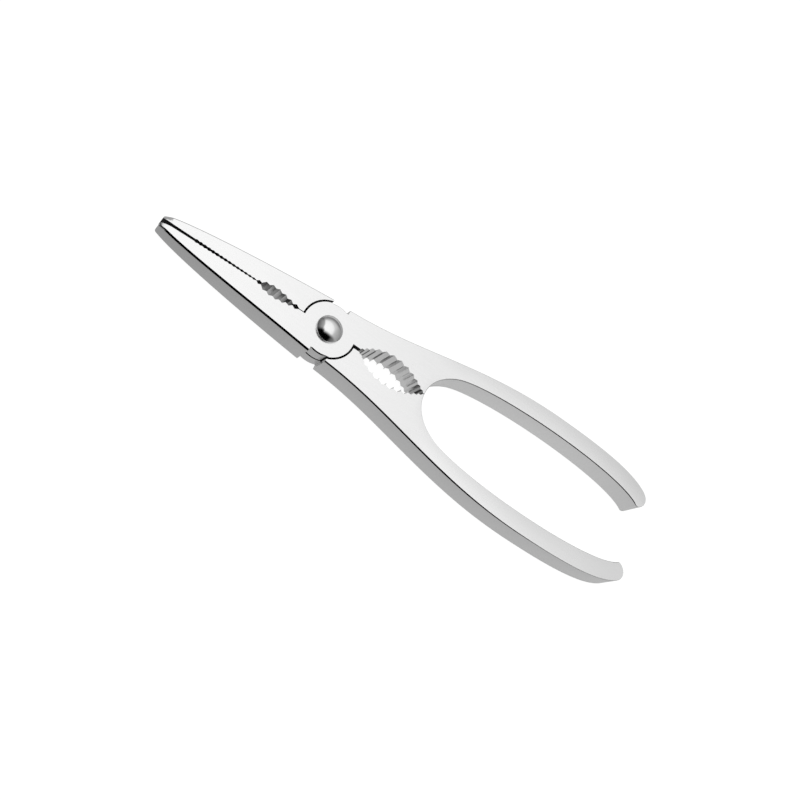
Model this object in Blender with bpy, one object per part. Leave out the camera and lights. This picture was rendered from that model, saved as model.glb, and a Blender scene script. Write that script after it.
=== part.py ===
"""Lobster cracker: two identical half-lapped steel arms on one domed rivet.

Each arm is one forging: a tapered jaw on one side of the pivot, a half-thickness disc
round the pivot, and a curved grip on the other side. The second arm is the first one
turned half a turn about the tool's long axis, so the two discs lie one on the other and
the jaws and grips come flush. The front arm turns on the rivet, which the rear arm holds.

Frame, in metres: the origin is on the pivot axis, at the tool's rear face. +X runs along
the tool to the grips, +Z out of the front face, where the domed rivet head is, and +Y to
the front arm's grip. The tool is modelled closed.
"""

from math import acos, asin, cos, pi, radians, sin, sqrt

import bmesh
import bpy
from mathutils import Vector

MM = 0.001

# Overall form
THICKNESS = 9.6 * MM          # both arms at the pivot and along the grips
JAW_LENGTH = 62.4 * MM        # pivot to jaw tip
GRIP_LENGTH = 137.8 * MM      # pivot to the far end of a grip
SEAM_GAP = 0.3 * MM           # left between the closed arms where they meet
EDGE_BREAK = 0.45 * MM        # rounding of the edges that a hand touches
DISC_BREAK_SHARE = 0.5        # the same on the open edge of the disc
EDGE_SEGMENTS = 2

# Half-lap joint
DISC_RADIUS = 9.5 * MM        # the disc that each arm keeps at half thickness
DISC_CLEARANCE = 0.6 * MM     # from the disc to the recess that it turns in
LAP_GAP = 0.3 * MM            # between the two half-thickness discs
JAW_STOP_X = 2.9 * MM         # end wall of the jaw, on the jaw side of the pivot
GRIP_STOP_X = 3.6 * MM        # start wall of the grip, which meets the jaw when open
STOP_STEP = 1.15 * MM         # outer edge at both walls, past the disc

# Rivet
SHANK_RADIUS = 3.0 * MM
SHANK_CLEARANCE = 0.3 * MM
HEAD_RADIUS = 4.75 * MM
HEAD_RIM = 0.4 * MM           # upright rim below the dome
HEAD_RISE = 2.1 * MM          # dome above the rim
HEAD_GAP = 0.3 * MM           # under the head
TAIL_RADIUS = 4.3 * MM        # set flush in the rear arm's countersink
TAIL_DEPTH = 1.3 * MM

# Jaw
TIP_THICKNESS = 5.9 * MM
TAPER_SWELL = 1.65            # above 1 the jaw keeps its thickness for longer
TAPER_STEPS = 5
TIP_HALF_WIDTH = 2.05 * MM
TIP_HALF_GAP = 0.9 * MM       # the closed jaws stand apart at the tip
LEAD_LENGTH = 3.4 * MM        # the gap flares over this length of the tip
LEAD_HALF_GAP = 0.55 * MM     # and is this wide where the flare starts
TIP_HEADING = radians(18)
JAW_STOP_HEADING = radians(6.5)
JAW_PULL_SHARES = (0.14, 0.5)

# Scalloped opening in the jaws
CLAW_LAND = 2.6 * MM          # plain seam from the disc to the opening
CLAW_LENGTH = 16.4 * MM
CLAW_SCALLOPS = 7
CLAW_RISE = 1.45 * MM         # from the seam to the highest ridges
CLAW_LEAN = 1.26              # above 1 draws the widest place towards the tip
CLAW_SWELL = 1.85             # above 1 pinches the opening towards its ends
CLAW_DEPTH_SHARE = 0.29       # scallop depth over its width
CLAW_END_DEPTH_SHARE = 0.32   # depth of the scallop nearest the tip, over the others'

# Fine teeth along the jaw
TOOTH_PITCH = 1.5 * MM
TOOTH_DEPTH = 0.25 * MM
TIP_LAND = 11.4 * MM          # plain stretch from the last tooth to the tip

# Scalloped opening behind the pivot
SLOT_LENGTH = 3.0 * MM        # relief slot from the disc to the opening
SLOT_HALF_GAP = 0.35 * MM
SHELL_LENGTH = 26.3 * MM
SHELL_SCALLOPS = 12
SHELL_RISE = 4.9 * MM
SHELL_LEAN = 0.92
SHELL_SWELL = 1.19
SHELL_DEPTH_SHARE = 0.35
SHELL_SPREAD_SHARE = 0.38     # how much wider than the mean the middle scallops are

# Grip
PAD_LENGTH = 0.8 * MM         # where the closed grips meet, behind the opening
NECK_LENGTH = 9.9 * MM        # from the pad to where the finger opening widens less
NECK_HALF_GAP = 12.6 * MM
NECK_HEADING = radians(23)
CROTCH_PULL_SHARES = (0.40, 0.31)
NECK_PULL_SHARES = (0.15, 0.47)
BELLY_X = 93.0 * MM           # where the grips stand furthest apart
BELLY_HALF_WIDTH = 24.15 * MM
BELLY_WIDTH = 6.9 * MM        # of the grip itself
SHOULDER_HEADING = radians(4)
SHOULDER_PULL_SHARES = (0.42, 0.33)
HEEL_SETBACK = 3.4 * MM       # inner corner of the end, from the far end
HEEL_HALF_GAP = 11.7 * MM
HEEL_HEADING = radians(-35)
HEEL_PULL_SHARES = (0.40, 0.17)
NOSE_HALF_WIDTH = 15.3 * MM   # furthest point of the end
NOSE_SETBACK = 5.3 * MM       # where the end starts to turn in
NOSE_START_HALF_WIDTH = 20.2 * MM
NOSE_HEADING = radians(-22)
NOSE_PULL_SHARES = (0.25, 0.33)
END_PULL_SHARES = (0.36, 0.36)

# Smoothness of the curves
LONG_STEPS = 14
SHORT_STEPS = 6
SCALLOP_STEPS = 4
ARC_STEP = radians(7.5)
TURNED_SIDES = 48
SHARP_ANGLE = radians(28)
CUTTER_OVERRUN = 2.0 * MM

# Derived sizes
HALF_THICKNESS = THICKNESS / 2
HALF_SEAM = SEAM_GAP / 2
RECESS_RADIUS = DISC_RADIUS + DISC_CLEARANCE
BORE_RADIUS = SHANK_RADIUS + SHANK_CLEARANCE
STOP_HALF_WIDTH = DISC_RADIUS + STOP_STEP
CLAW_HEEL_X = DISC_RADIUS + CLAW_LAND
CLAW_TIP_X = CLAW_HEEL_X + CLAW_LENGTH
SHELL_START_X = DISC_RADIUS + SLOT_LENGTH
SHELL_END_X = SHELL_START_X + SHELL_LENGTH
CROTCH_X = SHELL_END_X + PAD_LENGTH
LEAD_X = JAW_LENGTH - LEAD_LENGTH
TAPER_LENGTH = JAW_LENGTH - RECESS_RADIUS
NECK_X = CROTCH_X + NECK_LENGTH


def clear_scene() -> None:
    """Remove every object that the scene holds."""
    for old in list(bpy.data.objects):
        bpy.data.objects.remove(old, do_unlink=True)


def steel(name: str, shade: float, roughness: float) -> bpy.types.Material:
    """Return a plain steel material.

    Args:
        name: Name of the material.
        shade: Grey level of the metal.
        roughness: Roughness of its finish.
    """
    material = bpy.data.materials.new(name)
    material.use_nodes = True
    shader = material.node_tree.nodes["Principled BSDF"]
    shader.inputs["Base Color"].default_value = (shade, shade, shade, 1.0)
    shader.inputs["Metallic"].default_value = 1.0
    shader.inputs["Roughness"].default_value = roughness
    return material


def bend(start: tuple, leave: float, end: tuple, arrive: float, pull_shares: tuple,
         steps: int) -> list:
    """Return points along a cubic curve, without its end point.

    Args:
        start: First point.
        leave: Heading at the first point, in radians.
        end: Last point, which the next stretch adds.
        arrive: Heading at the last point, in radians.
        pull_shares: Length of each end's straight pull, as a share of the chord.
        steps: Number of stretches.
    """
    first, last = Vector(start), Vector(end)
    chord = (last - first).length
    lead = first + Vector((cos(leave), sin(leave))) * chord * pull_shares[0]
    trail = last - Vector((cos(arrive), sin(arrive))) * chord * pull_shares[1]
    points = []
    for step in range(steps):
        t = step / steps
        u = 1 - t
        points.append(tuple(first * u**3 + lead * 3 * u * u * t + trail * 3 * u * t * t + last * t**3))
    return points


def arc(radius: float, start: float, end: float) -> list:
    """Return points round the pivot from one angle to another, both ends included."""
    steps = max(2, round(abs(end - start) / ARC_STEP))
    turn = (end - start) / steps
    return [(radius * cos(start + turn * i), radius * sin(start + turn * i)) for i in range(steps + 1)]


def lens(share: float, length: float, rise: float) -> float:
    """Return the height of a circular arc over its chord.

    Args:
        share: Place along the chord, from 0 to 1.
        length: Length of the chord.
        rise: Height of the arc at mid length.
    """
    radius = (length * length / 4 + rise * rise) / (2 * rise)
    offset = length * (share - 1 / 2)
    return sqrt(radius * radius - offset * offset) - (radius - rise)


def scallops(start_x: float, end_x: float, count: int, rise: float, lean: float, swell: float,
             depth_share: float, end_depth_share: float, spread_share: float, side: int) -> list:
    """Return one side of a scalloped opening, from start_x to end_x.

    The ridges between scallops lie on an arc, and each scallop is a hollow between
    two ridges.

    Args:
        start_x: Where the opening starts.
        end_x: Where it ends.
        count: Number of scallops.
        rise: Height of the ridges' arc above the seam.
        lean: Above 1, the arc's highest place moves towards end_x.
        swell: Above 1, the arc's ends are drawn towards the seam.
        depth_share: Depth of a scallop over its width.
        end_depth_share: Depth of the scallop at end_x, over the others'.
        spread_share: How much wider than the mean the middle scallops are.
        side: 1 where the opening lies above the seam, -1 below.
    """
    length = abs(end_x - start_x)
    ridges = []
    for i in range(count + 1):
        share = i / count
        share -= spread_share * sin(2 * pi * share) / (2 * pi)
        height = rise * (max(lens(share**lean, length, rise), 0) / rise)**swell
        ridges.append(Vector((start_x + (end_x - start_x) * share, max(height, HALF_SEAM))))
    points = [ridges[0]]
    for near, far in zip(ridges, ridges[1:]):
        if far is ridges[-1]:
            depth_share *= end_depth_share
        width = far - near
        outward = Vector((-width.y, width.x)).normalized()
        if outward.y < 0:
            outward.negate()
        for step in range(1, SCALLOP_STEPS):
            share = step / SCALLOP_STEPS
            points.append(near + width * share + outward * width.length * depth_share * sin(pi * share))
        points.append(far)
    return [(point.x, side * point.y) for point in points]


def seam_height(x: float) -> float:
    """Return how far a closed jaw's teeth stand from the seam's centre at x."""
    share = (abs(x) - CLAW_TIP_X) / (LEAD_X - CLAW_TIP_X)
    return HALF_SEAM + (LEAD_HALF_GAP - HALF_SEAM) * share


def teeth() -> list:
    """Return the jaw's toothed edge, from the scalloped opening towards the tip."""
    toothed = JAW_LENGTH - TIP_LAND - CLAW_TIP_X
    count = max(1, round(toothed / TOOTH_PITCH))
    pitch = toothed / count
    points = []
    for i in range(count):
        root_x = -(CLAW_TIP_X + pitch * (i + 0.5))
        peak_x = -(CLAW_TIP_X + pitch * (i + 1))
        points.append((root_x, -seam_height(root_x) - TOOTH_DEPTH))
        points.append((peak_x, -seam_height(peak_x)))
    return points


def jaw_outer() -> list:
    """Return the jaw's tip and outer edge, as far as its end wall at the disc."""
    start = (-JAW_LENGTH, -TIP_HALF_WIDTH)
    end = (-JAW_STOP_X, -STOP_HALF_WIDTH)
    edge = bend(start, -TIP_HEADING, end, -JAW_STOP_HEADING, JAW_PULL_SHARES, LONG_STEPS)
    return [(-JAW_LENGTH, -TIP_HALF_GAP)] + edge + [end]


def jaw_inner() -> list:
    """Return the jaw's working edge, from the disc to the tip."""
    claw = scallops(-CLAW_HEEL_X, -CLAW_TIP_X, CLAW_SCALLOPS, CLAW_RISE, CLAW_LEAN, CLAW_SWELL,
                    CLAW_DEPTH_SHARE, CLAW_END_DEPTH_SHARE, 0, -1)
    return claw + teeth() + [(-LEAD_X, -LEAD_HALF_GAP)]


def grip_inner() -> list:
    """Return the grip's inner edge, from the crotch to its inner corner."""
    crotch = (CROTCH_X, HALF_SEAM)
    neck = (NECK_X, NECK_HALF_GAP)
    belly = (BELLY_X, BELLY_HALF_WIDTH - BELLY_WIDTH)
    heel = (GRIP_LENGTH - HEEL_SETBACK, HEEL_HALF_GAP)
    points = bend(crotch, pi / 2, neck, NECK_HEADING, CROTCH_PULL_SHARES, SHORT_STEPS)
    points += bend(neck, NECK_HEADING, belly, 0, NECK_PULL_SHARES, SHORT_STEPS)
    return points + bend(belly, 0, heel, HEEL_HEADING, HEEL_PULL_SHARES, SHORT_STEPS)


def grip_outer() -> list:
    """Return the grip's end, from its inner corner, and its outer edge back to the disc."""
    heel = (GRIP_LENGTH - HEEL_SETBACK, HEEL_HALF_GAP)
    nose = (GRIP_LENGTH, NOSE_HALF_WIDTH)
    turn = (GRIP_LENGTH - NOSE_SETBACK, NOSE_START_HALF_WIDTH)
    belly = (BELLY_X, BELLY_HALF_WIDTH)
    shoulder = (GRIP_STOP_X, STOP_HALF_WIDTH)
    points = bend(heel, 0, nose, pi / 2, END_PULL_SHARES, SHORT_STEPS)
    points += bend(nose, pi / 2, turn, NOSE_HEADING + pi, END_PULL_SHARES, SHORT_STEPS)
    points += bend(turn, NOSE_HEADING + pi, belly, pi, NOSE_PULL_SHARES, SHORT_STEPS)
    points += bend(belly, pi, shoulder, SHOULDER_HEADING + pi, SHOULDER_PULL_SHARES, LONG_STEPS)
    return points + [shoulder]


def arm_outline() -> list:
    """Return the arm's outline, anticlockwise: each point, and how much of the edge
    break the edge that starts there gets."""
    jaw_wall = -acos(-JAW_STOP_X / DISC_RADIUS)
    grip_wall = acos(GRIP_STOP_X / DISC_RADIUS)
    slot = asin(SLOT_HALF_GAP / DISC_RADIUS)
    seam = pi + asin(HALF_SEAM / DISC_RADIUS)
    shell = scallops(SHELL_START_X, SHELL_END_X, SHELL_SCALLOPS, SHELL_RISE, SHELL_LEAN, SHELL_SWELL,
                     SHELL_DEPTH_SHARE, 1, SHELL_SPREAD_SHARE, 1)
    stretches = [
        (jaw_outer(), 1),
        (arc(DISC_RADIUS, jaw_wall, -grip_wall), DISC_BREAK_SHARE),
        (arc(DISC_RADIUS, -grip_wall, slot)[1:], 0),
        ([(SHELL_START_X, SLOT_HALF_GAP)] + shell, 0),
        (grip_inner() + grip_outer(), 1),
        (arc(DISC_RADIUS, grip_wall, pi + jaw_wall), DISC_BREAK_SHARE),
        (arc(DISC_RADIUS, pi + jaw_wall, seam)[1:], 0),
        (jaw_inner(), 0),
    ]
    outline = []
    for points, break_share in stretches:
        outline += [(x, y, break_share) for x, y in points[:-1]]
        outline.append((*points[-1], 0))
    return outline


def jaw_taper(x: float) -> float:
    """Return the arm's thickness at x over its full thickness.

    The jaw thins along a curve, which runs straight from one taper step to the next.
    """
    way = max(-x - RECESS_RADIUS, 0) / TAPER_LENGTH * TAPER_STEPS
    near = min(int(way), TAPER_STEPS - 1)
    loss, next_loss = [(step / TAPER_STEPS)**TAPER_SWELL for step in (near, near + 1)]
    loss += (next_loss - loss) * (way - near)
    return 1 - loss * (1 - TIP_THICKNESS / THICKNESS)


def arm_mesh(name: str) -> bpy.types.Mesh:
    """Return the arm's blank: its outline at full thickness, with the jaw tapered.

    The edges that are rounded later carry a bevel weight. The outline's second point
    is the jaw tip's outer corner, which is rounded too.
    """
    outline = arm_outline()
    blank = bmesh.new()
    weight = blank.edges.layers.float.new("bevel_weight_edge")
    rear = [blank.verts.new((x, y, -HALF_THICKNESS)) for x, y, _ in outline]
    front = [blank.verts.new((x, y, HALF_THICKNESS)) for x, y, _ in outline]
    blank.faces.new(rear[::-1])
    blank.faces.new(front)
    for i, (_, _, break_share) in enumerate(outline):
        j = (i + 1) % len(outline)
        blank.faces.new((rear[i], rear[j], front[j], front[i]))
        for ends in ((rear[i], rear[j]), (front[i], front[j])):
            blank.edges.get(ends)[weight] = break_share
    blank.edges.get((rear[1], front[1]))[weight] = 1
    for step in range(TAPER_STEPS):
        everything = blank.verts[:] + blank.edges[:] + blank.faces[:]
        taper_line = (-RECESS_RADIUS - TAPER_LENGTH * step / TAPER_STEPS, 0, 0)
        bmesh.ops.bisect_plane(blank, geom=everything, plane_co=taper_line, plane_no=(1, 0, 0))
    for vertex in blank.verts:
        vertex.co.z *= jaw_taper(vertex.co.x)
    return finished_mesh(blank, name)


def finished_mesh(shape: bmesh.types.BMesh, name: str) -> bpy.types.Mesh:
    """Store a finished shape as a mesh."""
    mesh = bpy.data.meshes.new(name)
    shape.to_mesh(mesh)
    shape.free()
    return mesh


def turned_mesh(name: str, profile: list) -> bpy.types.Mesh:
    """Return a closed mesh turned about Z from a profile of radii and heights.

    An end of the profile that is off the axis is closed with a flat face.
    """
    turn = 2 * pi / TURNED_SIDES
    solid = bmesh.new()
    rows = []
    for radius, z in profile:
        sides = TURNED_SIDES if radius else 1
        ring = [(radius * cos(turn * i), radius * sin(turn * i), z) for i in range(sides)]
        rows.append([solid.verts.new(point) for point in ring])
    for low, high in zip(rows, rows[1:]):
        for i in range(TURNED_SIDES):
            j = (i + 1) % TURNED_SIDES
            corners = [low[i % len(low)], low[j % len(low)], high[j % len(high)], high[i % len(high)]]
            solid.faces.new(list(dict.fromkeys(corners)))
    for ring in (rows[0], rows[-1]):
        if len(ring) > 1:
            solid.faces.new(ring)
    bmesh.ops.recalc_face_normals(solid, faces=solid.faces[:])
    return finished_mesh(solid, name)


def add_object(name: str, mesh: bpy.types.Mesh) -> bpy.types.Object:
    """Link a mesh into the scene as a named object."""
    thing = bpy.data.objects.new(name, mesh)
    bpy.context.scene.collection.objects.link(thing)
    return thing


def cut(target: bpy.types.Object, cutter: bpy.types.Object) -> None:
    """Cut one solid out of another with a Boolean modifier, and hide the cutter."""
    cutter.parent = target
    cutter.hide_render = True
    cutter.display_type = "WIRE"
    modifier = target.modifiers.new(cutter.name, "BOOLEAN")
    modifier.operation = "DIFFERENCE"
    modifier.solver = "EXACT"
    modifier.object = cutter


def recess_cutter(arm_name: str) -> bpy.types.Object:
    """Return the solid that leaves half the thickness round the pivot."""
    floor = -HALF_THICKNESS - CUTTER_OVERRUN
    profile = [(RECESS_RADIUS, floor), (RECESS_RADIUS, LAP_GAP / 2)]
    return add_object(f"{arm_name}_recess", turned_mesh(f"{arm_name}_recess", profile))


def bore_cutter(arm_name: str, countersunk: bool) -> bpy.types.Object:
    """Return the solid that leaves the rivet's bore, countersunk for its tail or plain."""
    floor = -HALF_THICKNESS - CUTTER_OVERRUN
    roof = HALF_THICKNESS + CUTTER_OVERRUN
    profile = [(BORE_RADIUS, floor)]
    if countersunk:
        mouth = TAIL_RADIUS + SHANK_CLEARANCE
        profile += [(BORE_RADIUS, HALF_THICKNESS - TAIL_DEPTH), (mouth, HALF_THICKNESS), (mouth, roof)]
    else:
        profile += [(BORE_RADIUS, roof)]
    return add_object(f"{arm_name}_bore", turned_mesh(f"{arm_name}_bore", profile))


def arm(name: str, material: bpy.types.Material, turned_over: bool) -> bpy.types.Object:
    """Build one arm, with its origin on the pivot axis at the lap.

    Args:
        name: Name of the arm.
        material: Its steel.
        turned_over: Whether it lies turned over, with the rivet's countersink at the rear.
    """
    body = add_object(name, arm_mesh(name))
    body.location.z = HALF_THICKNESS
    if turned_over:
        body.rotation_euler.x = pi
    rounding = body.modifiers.new("rounded_edges", "BEVEL")
    rounding.limit_method = "WEIGHT"
    rounding.width = EDGE_BREAK
    rounding.segments = EDGE_SEGMENTS
    cut(body, recess_cutter(name))
    cut(body, bore_cutter(name, turned_over))
    body.data.materials.append(material)
    body.data.shade_smooth()
    body.data.set_sharp_from_angle(angle=SHARP_ANGLE)
    return body


def pivot_rivet(material: bpy.types.Material) -> bpy.types.Object:
    """Build the rivet: flush tail, shank and domed head."""
    seat = THICKNESS + HEAD_GAP
    rim = seat + HEAD_RIM
    dome_radius = (HEAD_RADIUS**2 + HEAD_RISE**2) / (2 * HEAD_RISE)
    spread = asin(HEAD_RADIUS / dome_radius)
    profile = [(TAIL_RADIUS, 0), (SHANK_RADIUS, TAIL_DEPTH), (SHANK_RADIUS, seat), (HEAD_RADIUS, seat)]
    for step in range(SHORT_STEPS):
        angle = spread * (1 - step / SHORT_STEPS)
        profile.append((dome_radius * sin(angle), rim + HEAD_RISE - dome_radius * (1 - cos(angle))))
    profile.append((0, rim + HEAD_RISE))
    rivet = add_object("pivot_rivet", turned_mesh("pivot_rivet", profile))
    rivet.data.materials.append(material)
    rivet.data.shade_smooth()
    rivet.data.set_sharp_from_angle(angle=SHARP_ANGLE)
    return rivet


def main() -> None:
    """Build the lobster cracker."""
    clear_scene()
    satin = steel("satin_steel", 0.78, 0.28)
    polished = steel("polished_steel", 0.72, 0.1)
    arm("rear_arm", satin, turned_over=True)
    arm("front_arm", satin, turned_over=False)
    pivot_rivet(polished)


main()
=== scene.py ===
"""Looks of the lobster cracker: two half-lapped steel arms and their domed rivet.

Everything is in metres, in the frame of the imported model: the pivot axis is the Z axis,
the grips point along +X, the rear face lies on z = 0 and the rivet's dome is in front.
"""

import logging
from dataclasses import dataclass
from enum import Enum
from functools import cached_property, partial, reduce
from math import acos, asin, ceil, cos, pi, radians, sin, sqrt

import bmesh
import bpy
from mathutils import Matrix, Vector


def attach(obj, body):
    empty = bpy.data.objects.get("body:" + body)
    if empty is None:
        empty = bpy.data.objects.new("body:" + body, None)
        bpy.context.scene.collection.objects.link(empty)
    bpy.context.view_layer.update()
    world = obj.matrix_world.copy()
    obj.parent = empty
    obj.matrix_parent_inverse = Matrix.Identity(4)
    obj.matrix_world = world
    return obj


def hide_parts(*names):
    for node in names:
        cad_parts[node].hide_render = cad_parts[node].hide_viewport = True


MM = 0.001

log = logging.getLogger("lobster_cracker")

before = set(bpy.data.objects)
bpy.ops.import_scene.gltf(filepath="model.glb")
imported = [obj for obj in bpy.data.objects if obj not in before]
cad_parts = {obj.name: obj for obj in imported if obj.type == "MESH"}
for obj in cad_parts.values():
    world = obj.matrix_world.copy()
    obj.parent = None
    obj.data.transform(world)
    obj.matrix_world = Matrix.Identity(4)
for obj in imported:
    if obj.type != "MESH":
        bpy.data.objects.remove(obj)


class ArmPlace(Enum):
    """Which of the two arms it is, by its CAD node."""

    FRONT = "front_arm"
    REAR = "rear_arm"

    @property
    def body(self) -> str:
        """CAD body that the arm rides on."""
        return "front_arm" if self is ArmPlace.FRONT else "rear_arm_and_rivet"

    @property
    def turned_over(self) -> bool:
        """Whether the arm lies turned over about the tool's long axis."""
        return self is ArmPlace.REAR


class SurfaceKind(Enum):
    """What made a steel surface, in the order of an arm's material slots."""

    GROUND = 0
    EDGE = 1
    FLUTE = 2
    # LAP walls, in the joint's gaps, the seam, the teeth and the bore, take a near-black finish:
    # painted shade.
    LAP = 3


Input = float | bpy.types.NodeSocket
SOCKET_TYPES = {float: "NodeSocketFloat", int: "NodeSocketInt", tuple: "NodeSocketVector"}


class NodeWeb:
    """Adds nodes to a tree and wires them."""

    def __init__(self, tree: bpy.types.NodeTree) -> None:
        """Start on the tree that gets the nodes."""
        self.tree = tree

    def add(self, kind: str, inputs: dict | None = None, **settings) -> bpy.types.Node:
        """Add one node.

        Args:
            kind: Blender's type name of the node.
            inputs: Value or socket for each input, by name or number.
            settings: Properties set on the node first.

        Returns:
            The new node.
        """
        node = self.tree.nodes.new(kind)
        for name, value in settings.items():
            setattr(node, name, value)
        for name, value in (inputs or {}).items():
            self.feed(node.inputs[name], value)
        return node

    def feed(self, socket: bpy.types.NodeSocket, value) -> None:
        """Give an input its value.

        Args:
            socket: The input.
            value: The value, or a socket that it comes from by a link.
        """
        if isinstance(value, bpy.types.NodeSocket):
            self.tree.links.new(value, socket)
        else:
            socket.default_value = value

    def math(self, operation: str, *values: Input) -> bpy.types.NodeSocket:
        """Add a Math node, and give its result."""
        return self.add("ShaderNodeMath", dict(enumerate(values)), operation=operation).outputs[0]

    def product(self, *factors: Input) -> bpy.types.NodeSocket:
        """Multiply values, from the first to the last."""
        return reduce(partial(self.math, "MULTIPLY"), factors)

    def vector(self, operation: str, *values) -> bpy.types.Node:
        """Add a Vector Math node, which has a vector and a value output."""
        return self.add("ShaderNodeVectorMath", dict(enumerate(values)), operation=operation)

    def split(self, vector: bpy.types.NodeSocket) -> list:
        """Give a vector's X, Y and Z."""
        return list(self.add("ShaderNodeSeparateXYZ", {0: vector}).outputs)

    def join(self, x: Input, y: Input, z: Input = 0.0) -> bpy.types.NodeSocket:
        """Make a vector of its X, Y and Z."""
        return self.add("ShaderNodeCombineXYZ", {"X": x, "Y": y, "Z": z}).outputs[0]

    def grey(self, level: Input) -> bpy.types.NodeSocket:
        """Make a grey colour of its level."""
        return self.add("ShaderNodeCombineColor", dict.fromkeys(range(3), level)).outputs[0]

    def noise(self, place: bpy.types.NodeSocket, **inputs: Input) -> bpy.types.NodeSocket:
        """Add a Noise Texture, and give its value."""
        return self.add("ShaderNodeTexNoise", {"Vector": place} | inputs).outputs["Fac"]

    def group(self, tree: bpy.types.NodeTree, inputs: dict) -> bpy.types.bpy_prop_collection:
        """Add a node group with its inputs, and give its outputs."""
        kind = self.tree.bl_idname.removesuffix("Tree") + "Group"
        return self.add(kind, inputs, node_tree=tree).outputs

    def ramp(self, value: Input, low: float, high: float, at_low: float = 0.0,
             at_high: float = 1.0, smooth: bool = True) -> bpy.types.NodeSocket:
        """Add a Map Range node that stays inside its limits.

        Args:
            value: Value or socket that is mapped.
            low: Value that gives at_low.
            high: Value that gives at_high.
            at_low: Result at low and before it.
            at_high: Result at high and past it.
            smooth: Whether the ends ease in.

        Returns:
            The mapped value.
        """
        kind = "SMOOTHSTEP" if smooth else "LINEAR"
        inputs = {"Value": value, "From Min": low, "From Max": high, "To Min": at_low,
                  "To Max": at_high}
        return self.add("ShaderNodeMapRange", inputs, interpolation_type=kind).outputs["Result"]

    def mix(self, share: Input, low: Input, high: Input) -> bpy.types.NodeSocket:
        """Mix two values, the second one by share."""
        return self.add("ShaderNodeMix", {"Factor": share, "A": low, "B": high}).outputs["Result"]

    def arc_radius(self, chord: Input, rise: Input) -> bpy.types.NodeSocket:
        """Give the radius of the arc that stands by rise over its chord."""
        squares = [self.math("POWER", side, 2.0) for side in (self.product(chord, 0.5), rise)]
        return self.math("DIVIDE", self.math("ADD", *squares), self.product(rise, 2.0))


def new_group(name: str, kind: str, inputs: dict, outputs: dict) -> tuple:
    """Make a node group with named sockets.

    Args:
        name: Name of the group.
        kind: Blender's type name of its tree.
        inputs: Value of each input, which says its type, or only the type's name.
        outputs: Name of each output's type.

    Returns:
        The web on its tree, the sockets that it takes and those that it gives.
    """
    tree = bpy.data.node_groups.new(name, kind)
    for label, value in inputs.items():
        has_value = not isinstance(value, str)
        socket_type = SOCKET_TYPES[type(value)] if has_value else value
        socket = tree.interface.new_socket(label, in_out="INPUT", socket_type=socket_type)
        if has_value:
            socket.default_value = value
    for label, socket_type in outputs.items():
        tree.interface.new_socket(label, in_out="OUTPUT", socket_type=socket_type)
    web = NodeWeb(tree)
    return web, web.add("NodeGroupInput").outputs, web.add("NodeGroupOutput").inputs


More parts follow.
